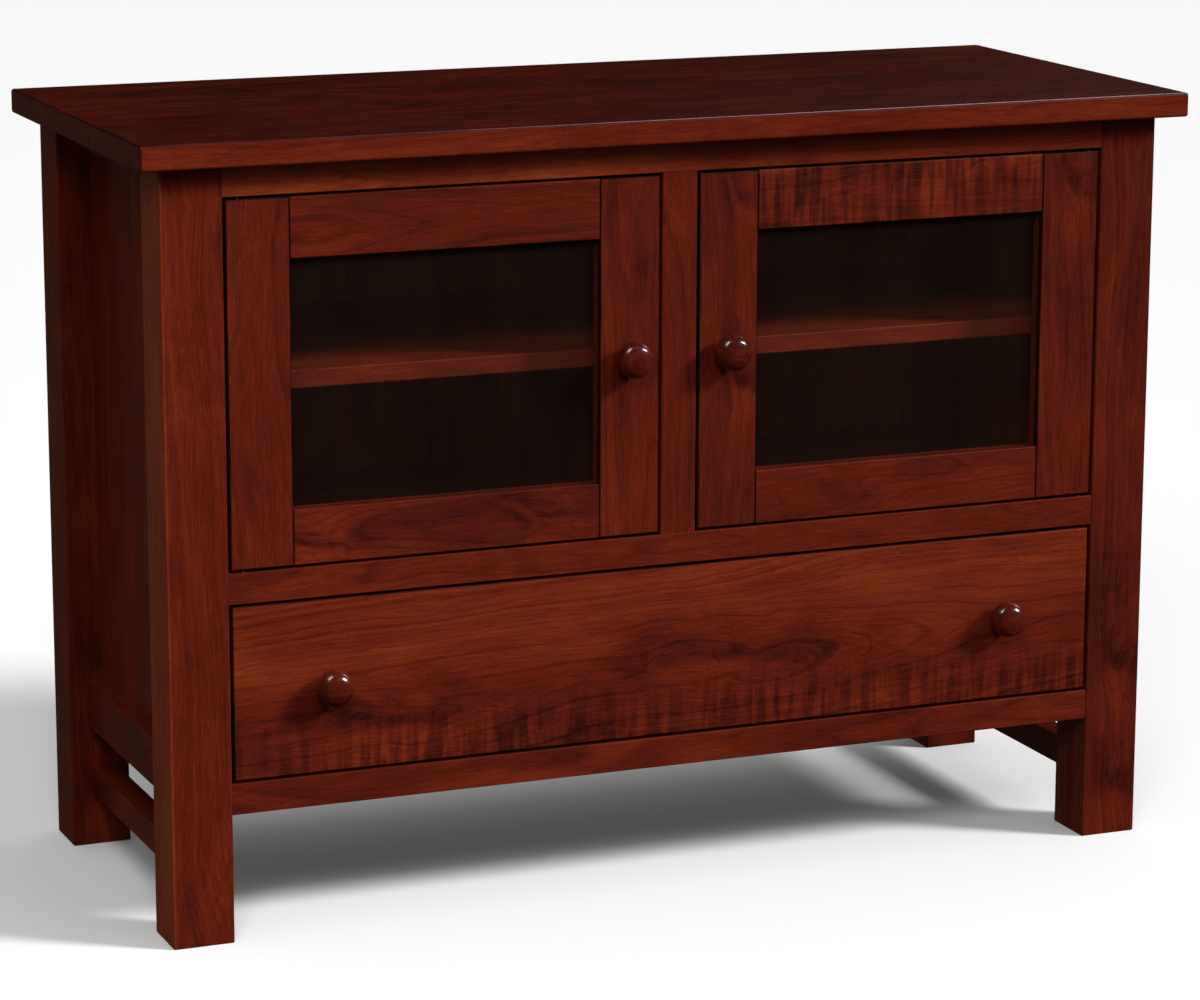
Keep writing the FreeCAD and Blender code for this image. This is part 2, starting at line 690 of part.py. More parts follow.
def turned_profile(sketch):
    """Draw the half section and tie each corner to the knob's radius and projection."""
    radius = SIZES["knob_radius"]
    projection = SIZES["knob_projection"]
    corners = [Vector(across * radius, -out * projection, 0) for across, out, _ in KNOB_SECTION]
    count = len(corners)
    ends = []
    for number, (start, (_, _, bow)) in enumerate(zip(corners, KNOB_SECTION)):
        end = corners[(number + 1) % count]
        if bow == 0.0:
            sketch.addGeometry(Part.LineSegment(start, end), False)
            ends.append((1, 2))
            continue
        run = end - start
        sagitta = run.Length * bow
        arc_radius = (run.Length ** 2 / 4 + sagitta ** 2) / (2 * abs(sagitta))
        outward = Vector(-run.y, run.x, 0).normalize()
        centre = (start + end) * 0.5 + outward * (sagitta - math.copysign(arc_radius, bow))
        angles = [math.atan2(point.y - centre.y, point.x - centre.x) for point in (start, end)]
        if bow > 0:
            angles.reverse()
        full_circle = Part.Circle(centre, Z_AXIS, arc_radius)
        sketch.addGeometry(Part.ArcOfCircle(full_circle, *angles), False)
        begins = sketch.Geometry[number].StartPoint.distanceToPoint(start) < 0.001
        ends.append((1, 2) if begins else (2, 1))
        tied = sketch.addConstraint(Sketcher.Constraint("Radius", number, arc_radius))
        bind(sketch, f"Constraints[{tied}]", f"knob_radius * {arc_radius / radius:.5f}")
    for number, (across, out, _) in enumerate(KNOB_SECTION):
        first = ends[number][0]
        last = ends[number - 1][1]
        before = (number - 1) % count
        sketch.addConstraint(Sketcher.Constraint("Coincident", before, last, number, first))
        if across == 0.0:
            sketch.addConstraint(Sketcher.Constraint("PointOnObject", number, first, -2))
        else:
            tied = sketch.addConstraint(
                Sketcher.Constraint("DistanceX", number, first, across * radius))
            bind(sketch, f"Constraints[{tied}]", f"knob_radius * {across}")
        if out == 0.0:
            sketch.addConstraint(Sketcher.Constraint("PointOnObject", number, first, -1))
        else:
            tied = sketch.addConstraint(
                Sketcher.Constraint("DistanceY", number, first, -out * projection))
            bind(sketch, f"Constraints[{tied}]", f"-knob_projection * {out}")


def make_bolt(name, x, z):
    """The machine screw that holds a knob: its head bears on the back of the wood."""
    bolt = Piece(name, x, "front_back", z)
    bolt.round("y", (x, z), "bolt_radius", ("frame_front - knob_bore + 1", "front_back"))
    bolt.round("y", (x, z), "bolt_head_radius", ("front_back", "front_back + bolt_head_height"))
    return bolt


def make_door(side):
    hand = "right" if side > 0 else "left"
    thickness = ("frame_front", "front_back")
    behind_lip = ("glass_front", "front_back")
    rabbet_z = ("sight_base - rabbet", "sight_top + rabbet")
    tenon_y = ("frame_front + tenon_shoulder", "frame_front + tenon_shoulder + tenon_edge")
    rails = (
        ("top_rail", ("sight_top", "door_top"), ("sight_top", "sight_top + rabbet"),
         ("sight_top + rabbet + tenon_edge", "door_top - tenon_shoulder")),
        ("bottom_rail", ("door_base", "sight_base"), ("sight_base - rabbet", "sight_base"),
         ("door_base + tenon_shoulder", "sight_base - rabbet - tenon_edge")),
    )
    stiles = (
        ("inner_stile", ("door_inner", "sight_inner"), ("sight_inner - rabbet", "sight_inner"),
         ("sight_inner - door_tenon", "sight_inner")),
        ("outer_stile", ("sight_outer", "door_outer"), ("sight_outer", "sight_outer + rabbet"),
         ("sight_outer", "sight_outer + door_tenon")),
    )
    knob_x = f"{side} * (door_knob_x)"
    for name, width, rabbet_x, mortise_x in stiles:
        across = mirrored(side, *width)
        stile = Piece(f"door_{hand}_{name}", across[0], "frame_front", "door_base")
        stile.block(across, thickness, ("door_base", "door_top"))
        stile.soften("door_edge_round", "xz", at_front)
        stile.slot(mirrored(side, *rabbet_x), behind_lip, rabbet_z)
        for _, _, _, tenon_z in rails:
            stile.slot(mirrored(side, *mortise_x), tenon_y, tenon_z)
        if name == "inner_stile":
            stile.bore("y", (knob_x, "door_knob_z"), "bolt_radius + bolt_play", thickness)
        else:
            cut_hinge_seats(stile, side)
        stile.finish()
    for name, height, rabbet, tenon_z in rails:
        across = mirrored(side, "sight_inner", "sight_outer")
        rail = Piece(f"door_{hand}_{name}", across[0], "frame_front", height[0])
        rail.block(across, thickness, height)
        rail.soften("door_edge_round", "xz", at_front)
        rail.slot(across, behind_lip, rabbet)
        rail.block(mirrored(side, "sight_inner - door_tenon", "sight_inner"), tenon_y, tenon_z)
        rail.block(mirrored(side, "sight_outer", "sight_outer + door_tenon"), tenon_y, tenon_z)
        rail.finish()
    make_glazing(side, hand)
    make_hinge_leaves(side, hand)
    make_knob(f"door_{hand}_knob", knob_x, "door_knob_z").finish()
    make_bolt(f"door_{hand}_knob_bolt", knob_x, "door_knob_z").finish()
    strike_x = mirrored(side, "catch_inner", "catch_outer")
    strike = Piece(f"door_{hand}_strike_plate", strike_x[0], "front_back", "catch_base")
    strike.block(strike_x, ("front_back", "strike_back"), ("catch_base", "door_top")).finish()


def cut_hinge_seats(stile, side):
    """Recess the pivot leaves into both ends of the stile and drill below them for the pins."""
    leaf_x = mirrored(side, "leaf_inner", "leaf_outer")
    leaf_y = ("leaf_front", "leaf_back")
    centre = (f"{side} * (hinge_x)", "hinge_y")
    clear = "hinge_pin_radius + 4 * hinge_pin_play"
    stile.slot(leaf_x, leaf_y, ("door_top - leaf_thickness", "door_top"))
    stile.slot(leaf_x, leaf_y, ("door_base", "door_base + leaf_thickness"))
    stile.bore("z", centre, clear, ("door_top - hinge_pin_reach - 1", "door_top - leaf_thickness"))
    stile.bore("z", centre, clear, ("door_base + leaf_thickness", "door_base + hinge_pin_reach + 1"))


def make_glazing(side, hand):
    """The pane lies in the rabbet behind the lip, and four wooden stops hold it there."""
    pane_x = mirrored(side, "sight_inner - rabbet + glass_play", "sight_outer + rabbet - glass_play")
    pane_z = ("sight_base - rabbet + glass_play", "sight_top + rabbet - glass_play")
    pane = Piece(f"door_{hand}_glass", pane_x[0], "glass_front", pane_z[0])
    pane.block(pane_x, ("glass_front", "stop_front"), pane_z).finish()
    depth = ("stop_front", "stop_front + stop_depth")
    tall = ("sight_base - rabbet", "sight_top + rabbet")
    strips = (
        ("inner", ("sight_inner - rabbet", "sight_inner"), tall),
        ("outer", ("sight_outer", "sight_outer + rabbet"), tall),
        ("top", ("sight_inner", "sight_outer"), ("sight_top", "sight_top + rabbet")),
        ("bottom", ("sight_inner", "sight_outer"), ("sight_base - rabbet", "sight_base")),
    )
    stops = []
    for name, width, height in strips:
        across = mirrored(side, *width)
        stop = Piece(f"door_{hand}_{name}_stop", across[0], depth[0], height[0])
        stop.block(across, depth, height)
        stops.append(stop.body)
    group(f"door_{hand}_glass_stops", stops)


def make_hinge_leaves(side, hand):
    """The leaves on the ends of the outer stile turn on the pins of the hinge arms."""
    leaf_x = mirrored(side, "leaf_inner", "leaf_outer")
    leaf_y = ("leaf_front", "leaf_back")
    heights = (("top", ("door_top - leaf_thickness", "door_top")),
               ("base", ("door_base", "door_base + leaf_thickness")))
    leaves = []
    for end, leaf_z in heights:
        leaf = Piece(f"hinge_leaf_{hand}_{end}", leaf_x[0], leaf_y[0], leaf_z[0])
        leaf.block(leaf_x, leaf_y, leaf_z)
        leaf.bore("z", (f"{side} * (hinge_x)", "hinge_y"), "hinge_pin_radius + hinge_pin_play", leaf_z)
        leaves.append(leaf.body)
    group(f"door_{hand}_hinge_leaves", leaves)


# ---------------------------------------------------------------- drawer


def make_drawer_front():
    across = both_ways("leg_inner - gap")
    front = Piece("drawer_front", across[0], "frame_front", "drawer_front_base")
    front.block(across, ("frame_front", "front_back"), ("drawer_front_base", "drawer_front_top"))
    front.soften("arris", "xz", at_front)
    for side in (-1, 1):
        front.slot(mirrored(side, "drawer_inner", "drawer_outer"),
                   ("front_back - drawer_dado", "front_back"), ("drawer_base", "drawer_top"))
        front.bore("y", (f"{side} * drawer_knob_spacing / 2", "drawer_knob_z"),
                   "bolt_radius + bolt_play", ("frame_front", "front_back"))
    front.slot(both_ways("drawer_inner"), ("front_back - drawer_dado", "front_back"),
               ("drawer_groove_base", "drawer_groove_top"))
    front.finish()


def make_drawer_box():
    for side in (-1, 1):
        width = mirrored(side, "drawer_inner", "drawer_outer")
        dado_x = mirrored(side, "drawer_inner", "drawer_inner + drawer_dado")
        length = ("front_back - drawer_dado", "drawer_end")
        wall = Piece(f"drawer_side_{'right' if side > 0 else 'left'}", width[0], length[0], "drawer_base")
        wall.block(width, length, ("drawer_base", "drawer_top"))
        wall.soften("arris", "y", lambda point, box: point.z > box.ZMax - 0.01)
        wall.slot(dado_x, length, ("drawer_groove_base", "drawer_groove_top"))
        wall.slot(dado_x, ("drawer_back_front", "drawer_end"), ("drawer_groove_top", "drawer_top"))
        wall.finish()
    across = both_ways("drawer_inner + drawer_dado")
    back = Piece("drawer_back", across[0], "drawer_back_front", "drawer_groove_top")
    back.block(across, ("drawer_back_front", "drawer_end"), ("drawer_groove_top", "drawer_top - arris"))
    back.finish()
    base = Piece("drawer_bottom", across[0], "front_back - drawer_dado", "drawer_groove_base")
    base.block(across, ("front_back", "drawer_end"), ("drawer_groove_base", "drawer_groove_top"))
    base.block(both_ways("drawer_inner"), ("front_back - drawer_dado", "front_back"),
               ("drawer_groove_base", "drawer_groove_top"))
    base.finish()


def make_drawer_knobs():
    knobs = []
    bolts = []
    for side in (-1, 1):
        hand = "right" if side > 0 else "left"
        place = (f"{side} * drawer_knob_spacing / 2", "drawer_knob_z")
        knobs.append(make_knob(f"drawer_knob_{hand}", *place).body)
        bolts.append(make_bolt(f"drawer_knob_bolt_{hand}", *place).body)
    group("drawer_knobs", knobs)
    group("drawer_knob_bolts", bolts)


def make_channel(name, web, flange_end, height, side):
    """One member of a slide: a sheet-steel channel, its web at one X and its flanges reaching to another."""
    low, high = web
    web_x = mirrored(side, low, high)
    flange_x = mirrored(side, *flange_end)
    length = ("slide_front", "slide_back")
    base = f"slide_z - {height} / 2"
    top = f"slide_z + {height} / 2"
    channel = Piece(name, web_x[0], length[0], base)
    channel.block(web_x, length, (base, top))
    channel.block(flange_x, length, (f"{top} - channel", top))
    channel.block(flange_x, length, (base, f"{base} + channel"))
    return channel


def make_slides():
    """Telescopic slides: outer members on the carcass, middle ones free, inner ones on the drawer."""
    outers = []
    middles = []
    inners = []
    cleats = []
    for side in (-1, 1):
        hand = "right" if side > 0 else "left"
        outer = make_channel(
            f"slide_outer_{hand}", ("leg_inner - channel", "leg_inner"),
            ("leg_inner - outer_channel_depth", "leg_inner - channel"), "outer_channel_height", side)
        for across in ("front_legs_back - leg / 3", "(front_legs_back + back_legs_front) / 2",
                       "back_legs_front - leg / 2"):
            outer.bore("x", (across, "slide_z"), "screw_radius",
                       mirrored(side, "leg_inner - channel", "leg_inner"))
        outers.append(outer.body)
        middle = make_channel(
            f"slide_middle_{hand}", ("middle_channel_web - channel", "middle_channel_web"),
            ("middle_channel_web - middle_channel_depth", "middle_channel_web - channel"),
            "middle_channel_height", side)
        middles.append(middle.body)
        inner = make_channel(
            f"slide_inner_{hand}", ("drawer_outer", "drawer_outer + channel"),
            ("drawer_outer + channel", "drawer_outer + inner_channel_depth"), "inner_channel_height", side)
        inners.append(inner.body)
        cleat_x = mirrored(side, "leg_inner", "panel_inner")
        cleat = Piece(f"slide_cleat_{hand}", cleat_x[0], "front_legs_back", "slide_z - cleat_height / 2")
        cleat.block(cleat_x, ("front_legs_back", "back_legs_front"),
                    ("slide_z - cleat_height / 2", "slide_z + cleat_height / 2"))
        cleats.append(cleat.body)
    group("slides_outer", outers)
    group("slides_middle", middles)
    group("slides_inner", inners)
    group("slide_cleats", cleats)


# ---------------------------------------------------------------- build, check and write


def check():
    """Stop if anything failed to compute, and if any pocket missed its solid."""
    for item in doc.Objects:
        if "Invalid" in item.State or "Error" in item.State:
            raise RuntimeError(f"{item.Name} failed: {item.State}")
        if item.TypeId == "PartDesign::Pocket":
            if item.Shape.Volume > item.BaseFeature.Shape.Volume - 0.1:
                raise RuntimeError(f"{item.Name} cuts nothing")
    for node in nodes:
        if node.Shape.isNull() or not node.Shape.isValid():
            raise RuntimeError(f"{node.Label} has no valid shape")


make_top()
for side in (-1, 1):
    make_leg(side, "front")
    make_leg(side, "back")
    make_side(side)
make_front_frame()
make_back()
make_interior()
make_shelf_pins()
make_screws(make_top_brackets() + back_screw_places() + slide_screw_places())
make_catches()
make_hinge_arms()
for side in (-1, 1):
    make_door(side)
make_drawer_front()
make_drawer_box()
make_drawer_knobs()
make_slides()
doc.recompute()
check()
os.makedirs("parts", exist_ok=True)
for node in nodes:
    node.Shape.exportStep(f"parts/{node.Label}.step")
print(len(nodes), "sub-parts written")
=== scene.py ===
import math
import random

import bpy
from mathutils import Matrix, Vector


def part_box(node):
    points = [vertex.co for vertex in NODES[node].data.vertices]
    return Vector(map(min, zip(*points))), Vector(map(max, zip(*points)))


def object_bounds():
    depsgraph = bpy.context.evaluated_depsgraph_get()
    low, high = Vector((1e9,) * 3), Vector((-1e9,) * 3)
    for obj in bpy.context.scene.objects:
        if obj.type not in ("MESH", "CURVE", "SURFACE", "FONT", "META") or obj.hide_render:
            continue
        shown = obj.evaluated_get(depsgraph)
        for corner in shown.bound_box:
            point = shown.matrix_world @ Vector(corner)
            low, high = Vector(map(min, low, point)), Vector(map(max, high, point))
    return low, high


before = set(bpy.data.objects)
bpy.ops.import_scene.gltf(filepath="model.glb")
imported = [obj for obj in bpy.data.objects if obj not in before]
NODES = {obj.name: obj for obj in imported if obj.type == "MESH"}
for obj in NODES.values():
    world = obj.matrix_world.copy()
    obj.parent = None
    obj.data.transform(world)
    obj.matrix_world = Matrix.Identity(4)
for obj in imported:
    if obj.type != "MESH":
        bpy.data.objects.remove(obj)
cad_low, cad_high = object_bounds()

# Real places that the rest of the script works from, in metres.
front_left_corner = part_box("leg_front_left")[0]
BODY_WIDTH = -2 * front_left_corner.x
FRONT_FACE = front_left_corner.y
DOOR_TENON = 0.012


# ---------------------------------------------------------------- camera

def make_camera():
    """A long lens a little above the cabinet, to the left of its front."""
    place = Vector((-1.5293, -3.5155, 1.2417)) * BODY_WIDTH + Vector((0, FRONT_FACE, 0))
    yaw, pitch, roll = 0.3911, -0.2209, 0.0026
    forward = Vector((math.sin(yaw) * math.cos(pitch), math.cos(yaw) * math.cos(pitch), math.sin(pitch)))
    level = Vector((math.cos(yaw), -math.sin(yaw), 0))
    upright = level.cross(forward)
    right = level * math.cos(roll) + upright * math.sin(roll)
    up = upright * math.cos(roll) - level * math.sin(roll)
    camera = bpy.data.objects.new("camera", bpy.data.cameras.new("camera"))
    camera.matrix_world = Matrix((right, up, -forward)).transposed().to_4x4()
    camera.location = place
    camera.data.lens = 125.4
    camera.data.sensor_width = 36
    camera.data.clip_end = 100
    bpy.context.scene.collection.objects.link(camera)
    bpy.context.scene.camera = camera


# ---------------------------------------------------------------- node helpers

class Shader:
    """A material with one Principled shader and a few short ways to add nodes to it."""

    def __init__(self, name):
        self.material = bpy.data.materials.new(name)
        self.material.use_nodes = True
        self.tree = self.material.node_tree
        self.surface = self.tree.nodes["Principled BSDF"]
        self.place = self.node("ShaderNodeTexCoord").outputs["Object"]

    def feed(self, socket, value):
        """Link another node's output to a socket, or set the socket to a constant."""
        if isinstance(value, bpy.types.NodeSocket):
            self.tree.links.new(value, socket)
        else:
            socket.default_value = value

    def node(self, kind, settings=None, **inputs):
        node = self.tree.nodes.new(kind)
        for name, value in (settings or {}).items():
            setattr(node, name, value)
        for name, value in inputs.items():
            self.feed(node.inputs[name.replace("_", " ")], value)
        return node

    def math(self, operation, first, second=0.0, clamp=False):
        node = self.node("ShaderNodeMath", {"operation": operation, "use_clamp": clamp})
        self.feed(node.inputs[0], first)
        self.feed(node.inputs[1], second)
        return node.outputs["Value"]

    def vector(self, operation, first, second):
        node = self.node("ShaderNodeVectorMath", {"operation": operation})
        self.feed(node.inputs[0], first)
        self.feed(node.inputs[1], second)
        return node.outputs["Vector"]

    def length(self, vector):
        node = self.node("ShaderNodeVectorMath", {"operation": "LENGTH"})
        self.feed(node.inputs[0], vector)
        return node.outputs["Value"]

    def along(self, place, axis):
        """The coordinate of a place along one axis."""
        return self.node("ShaderNodeSeparateXYZ", Vector=place).outputs["xyz".index(axis)]

    def mapped(self, source, location=(0, 0, 0), rotation=(0, 0, 0), scale=(1, 1, 1)):
        mapping = self.node("ShaderNodeMapping", Vector=source, Location=location, Rotation=rotation,
                            Scale=scale)
        return mapping.outputs["Vector"]

    def noise(self, source, scale=1.0, detail=3.0, roughness=0.5, distortion=0.0):
        return self.node("ShaderNodeTexNoise", Vector=source, Scale=scale, Detail=detail,
                         Roughness=roughness, Distortion=distortion)

    def line_noise(self, distance, scale, detail, roughness):
        """Noise that changes only with one distance."""
        noise = self.node("ShaderNodeTexNoise", {"noise_dimensions": "1D"}, W=distance, Scale=scale,
                          Detail=detail, Roughness=roughness)
        return noise.outputs["Fac"]

    def centred(self, noise):
        """A noise's colour as a vector about zero."""
        return self.vector("SUBTRACT", noise.outputs["Color"], (0.5, 0.5, 0.5))

    def swing(self, factor, strength):
        """A factor of 0..1 as a change about zero."""
        return self.math("MULTIPLY", self.math("SUBTRACT", factor, 0.5), strength)

    def spread(self, value, low, high, to_low=0.0, to_high=1.0):
        """Map low..high smoothly to another range."""
        node = self.node("ShaderNodeMapRange", {"interpolation_type": "SMOOTHSTEP"}, Value=value,
                         From_Min=low, From_Max=high, To_Min=to_low, To_Max=to_high)
        return node.outputs["Result"]

    def ramp(self, value, stops):
        node = self.node("ShaderNodeValToRGB", Fac=value)
        elements = node.color_ramp.elements
        while len(elements) < len(stops):
            elements.new(0.5)
        for element, (position, colour) in zip(elements, stops):
            element.position = position
            element.color = (*colour, 1.0)
        return node.outputs["Color"]

    def bump(self, height, strength, distance):
        node = self.node("ShaderNodeBump", Strength=strength, Distance=distance, Height=height)
        return node.outputs["Normal"]

    def set(self, **inputs):
        for name, value in inputs.items():
            self.feed(self.surface.inputs[name.replace("_", " ")], value)


# ---------------------------------------------------------------- wood

QUARTER = math.pi / 2
# How a board's own length is turned onto the X axis of its pattern.
GRAIN_TURN = {"x": (0, 0, 0), "y": (0, 0, -QUARTER), "z": (0, QUARTER, 0)}

# Colours from the darkest stain to the lightest, as linear light. The darkest carry a little extra green
# and blue, a painted sheen for the veil of reflections on shaded faces.
STAIN = (
    (0.00, (0.012, 0.0024, 0.0014)),
    (0.25, (0.042, 0.0056, 0.0028)),
    (0.50, (0.102, 0.0108, 0.0036)),
    (0.75, (0.170, 0.0230, 0.0056)),
    (1.00, (0.260, 0.0480, 0.0110)),
)
CLEAR_MAPLE = (
    (0.00, (0.20, 0.11, 0.05)),
    (0.50, (0.50, 0.34, 0.19)),
    (1.00, (0.66, 0.50, 0.32)),
)


def wood(node, grain, tone=0.5, pith=(0.06, 0.0), tilt=0.03, band=0.009, bands=0.13, rings=0.09,
         streaks=0.19, blotches=0.28, curl=0.0, curl_area=None, planks=None, stain=STAIN, gloss=0.30,
         coat=0.05, coat_blur=0.10, faces=(), edges=(), sway=0.06, swirls=()):
    """Maple cut from a log: growth bands about a pith, fibres, blotches of stain, and curl.

    grain is the axis along the board, and tone its place in the stain's colours. pith is how far the
    log's middle lies from the middle of the board, and tilt how far the board leans out of the log.
    band is the width of a growth band, bands their contrast and rings how dark the late wood is.
    curl_area is an axis and the two heights between which the curl fades out. planks is the axis and
    width of the boards of a glued-up panel. faces are an axis, two heights and the tone added beyond
    them; some of them are painted light or painted shade on one face. edges are axes with the middle
    and half length between the places that are darkened: stain pooled in the joints at rail ends,
    and painted shade on the walls of the gaps round doors and drawer.
    sway is how far the grain wanders, and swirls are places, with a radius, where it curls round."""
    seed = sorted(NODES).index(node)
    draw = random.Random(seed)
    shift = tuple(draw.uniform(-5, 5) for _ in range(3))
    lean = tilt * draw.choice((-1, 1))
    low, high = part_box(node)
    shader = Shader(node)
    own = shader.vector("SUBTRACT", shader.place, tuple((low + high) / 2))
    if planks:
        own = shuffle_planks(shader, own, grain, planks)
    turned = shader.mapped(own, rotation=GRAIN_TURN[grain])
    bent = wander(shader, turned, shift, sway)
    changes = []
    for *spot, size in swirls:
        bent, shade = swirl(shader, own, bent, grain, spot, size)
        changes.append(shade)

    log = shader.mapped(bent, location=(0, *pith), rotation=(0, tilt, lean * 0.6))
    radius = shader.length(shader.vector("MULTIPLY", log, (0.0, 1.0, 1.0)))
    changes += growth(shader, radius, seed, band, bands, rings)
    fibres = shader.noise(shader.mapped(bent, location=shift, scale=(24, 620, 620)), roughness=0.65)
    pores = shader.noise(shader.mapped(bent, location=shift, scale=(150, 1300, 1300)), detail=2.0,
                         roughness=0.6)
    cloud = shader.noise(shader.mapped(turned, location=shift, scale=(5.5, 15, 15)), detail=5.0,
                         roughness=0.62, distortion=0.8)
    changes.append(shader.swing(fibres.outputs["Fac"], 3 * streaks))
    changes.append(shader.swing(pores.outputs["Fac"], 1.6 * streaks))
    changes.append(shader.swing(cloud.outputs["Fac"], 2.2 * blotches))
    if curl:
        changes.append(flame(shader, turned, shift, curl, curl_area))
    # Some faces add painted light or painted shade to one face of a board.
    for axis, near, beyond, change in faces:
        changes.append(shader.spread(shader.along(shader.place, axis), near, beyond, 0.0, change))
    # Darken the last 1.5 mm before each end: stain pooled in the joints at rail ends, and painted shade on
    # the walls of the gaps round doors and drawer.
    for axis, middle, half in edges:
        away = shader.math("ABSOLUTE", shader.math("SUBTRACT", shader.along(shader.place, axis), middle))
        changes.append(shader.spread(away, half - 0.0015, half - 0.0006, 0.0, -0.4))

    value = tone
    for change in changes:
        value = shader.math("ADD", value, change)
    value = shader.math("ADD", value, 0.0, clamp=True)
    satin = shader.spread(fibres.outputs["Fac"], 0.2, 0.8, gloss + 0.05, gloss - 0.03)
    relief = shader.math("ADD", fibres.outputs["Fac"], pores.outputs["Fac"])
    shader.set(Base_Color=shader.ramp(value, stain), Roughness=satin, Specular_IOR_Level=0.20,
               Coat_Weight=coat, Coat_Roughness=coat_blur, Normal=shader.bump(relief, 0.05, 0.0005))
    return shader.material


def shuffle_planks(shader, own, grain, planks):
    """Give each plank of a glued-up panel a log of its own."""
    axis, width = planks
    number = shader.math("FLOOR", shader.math("DIVIDE", shader.along(own, axis), width))
    middle = shader.math("MULTIPLY", shader.math("ADD", number, 0.5), width)
    to_middle = shader.vector("MULTIPLY", middle, tuple(float(a == axis) for a in "xyz"))
    jump = shader.node("ShaderNodeTexWhiteNoise", {"noise_dimensions": "1D"}, W=number)
    reach = tuple(3.0 if a == grain else 0.04 for a in "xyz")
    moved = shader.vector("SUBTRACT", own, to_middle)
    return shader.vector("ADD", moved, shader.vector("MULTIPLY", jump.outputs["Color"], reach))


def wander(shader, turned, shift, sway):
    """Let the grain wander a little to both sides."""
    slow = shader.noise(shader.mapped(turned, location=shift, scale=(2.2, 8, 8)), detail=2.5)
    return shader.vector("ADD", turned, shader.vector("MULTIPLY", shader.centred(slow), (0.0, sway, sway)))


def swirl(shader, own, bent, grain, spot, size):
    """Curl the grain round a place in the board, and say how its stain changes there."""
    squash = tuple(0.45 if axis == grain else 1.0 for axis in "xyz")
    away = shader.vector("MULTIPLY", shader.vector("SUBTRACT", own, tuple(spot)), squash)
    nearness = shader.spread(shader.length(away), 0.0, size, 1.0, 0.0)
    eddy = shader.noise(away, 0.9 / size, 2.0, distortion=1.0)
    turn = shader.vector("MULTIPLY", shader.centred(eddy), (0.6 * size,) * 3)
    uneven = shader.spread(eddy.outputs["Fac"], 0.38, 0.62, -0.22, 0.14)
    bent = shader.vector("ADD", bent, shader.vector("MULTIPLY", turn, nearness))
    return bent, shader.math("MULTIPLY", uneven, nearness)


def growth(shader, radius, seed, band, bands, rings):
    """Broad bands of growth, and the thin dark lines of late wood between them."""
    year = shader.line_noise(shader.math("ADD", radius, seed), 1.0 / band, 3.0, 0.6)
    late = shader.line_noise(shader.math("ADD", radius, -seed), 1.2 / band, 0.5, 0.5)
    from_line = shader.math("ABSOLUTE", shader.math("SUBTRACT", late, 0.5))
    return [shader.swing(year, 2 * bands), shader.spread(from_line, 0.0, 0.05, -rings, 0.1 * rings)]


def flame(shader, turned, shift, strength, area):
    """Curly figure: bright and dark bars across the grain, in patches or within an area."""
    bars = shader.noise(shader.mapped(turned, location=shift, scale=(120, 12, 12)), detail=1.5,
                        distortion=0.7)
    value = shader.spread(bars.outputs["Fac"], 0.36, 0.64, -strength, 0.4 * strength)
    patch = shader.noise(shader.mapped(turned, location=shift, scale=(7, 16, 16)), detail=2.0)
    value = shader.math("MULTIPLY", value, shader.spread(patch.outputs["Fac"], 0.30, 0.55, 0.4, 1.0))
    if area:
        axis, full, none = area
        uneven = shader.math("MULTIPLY", bars.outputs["Fac"], 0.04)
        ragged = shader.math("ADD", shader.along(shader.place, axis), uneven)
        value = shader.math("MULTIPLY", value, shader.spread(ragged, full, none, 1.0, 0.0))
    return value


# ---------------------------------------------------------------- the wooden pieces

def named(*beginnings):
    return [node for node in NODES if node.startswith(beginnings)]


def half_size(node):
    low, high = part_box(node)
    return (high - low) / 2


def outline(node, axes, tenon=0.0):
    """The edges of a board along some axes, less the tenons at the ends of its first axis."""
    low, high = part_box(node)
    edges = []
    for axis in axes:
        first, last = (getattr(corner, axis) for corner in (low, high))
        hidden = tenon if axis == axes[0] else 0.0
        edges.append((axis, (first + last) / 2, (last - first) / 2 - hidden))
    return edges


def assign(node, material):
    mesh = NODES[node].data
    mesh.materials.clear()
    mesh.materials.append(material)


def finish_legs():
    for node in named("leg_"):
        if node == "leg_front_left":
            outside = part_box(node)[0].x
            # The leg's outward side face is made lighter: painted light.
            painted_light_side = ("x", outside + 0.004, outside + 0.001, 0.28)
            look = wood(node, "z", 0.53, pith=(0.05, 0.045), bands=0.10, faces=(painted_light_side,))
        else:
            front = -half_size(node).y
            knots = ((0.0, front, -0.19, 0.08), (0.0, front, -0.33, 0.06))
            look = wood(node, "z", 0.45, pith=(0.05, 0.045), bands=0.10, swirls=knots)
        assign(node, look)


def finish_face_frame():
    for node in ("front_middle_rail", "front_lower_rail"):
        assign(node, wood(node, "x"))
    # The rail lies in the top's shadow: its raised tone is painted light, and its darker right end is
    # painted shade.
    node = "front_top_rail"
    painted_shade_end = ("x", -0.2, 0.2, -0.22)
    small_knot = (-0.35, -half_size(node).y, -0.003, 0.012)
    assign(node, wood(node, "x", 0.80, faces=(painted_shade_end,), swirls=(small_knot,)))
    assign("centre_mullion", wood("centre_mullion", "z", 0.47, pith=(0.09, 0.03), bands=0.10))


def finish_sides():
    for node in named("side_panel"):
        assign(node, wood(node, "z", 0.46, pith=(0.0, 0.05), planks=("y", 0.11)))
    for node in named("side_lower", "side_upper", "side_stretcher", "slide_cleats"):
        assign(node, wood(node, "y", 0.45))


def finish_top():
    """The upper face is darker than the front edge: painted shade. The end grain is darker too: partly
    stain that soaked in, partly painted shade.
    """
    low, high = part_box("top_panel")
    faces = (
        # Painted shade on the upper face, then both ends darker from soaked-in stain and painted shade.
        ("z", high.z - 0.0035, high.z - 0.0005, -0.28),
        ("x", low.x + 0.003, low.x + 0.001, -0.26),
        ("x", high.x - 0.003, high.x - 0.001, -0.26),
    )
    assign("top_panel", wood("top_panel", "x", 0.57, pith=(0.0, 0.05), planks=("y", 0.121), faces=faces,
                             gloss=0.25))


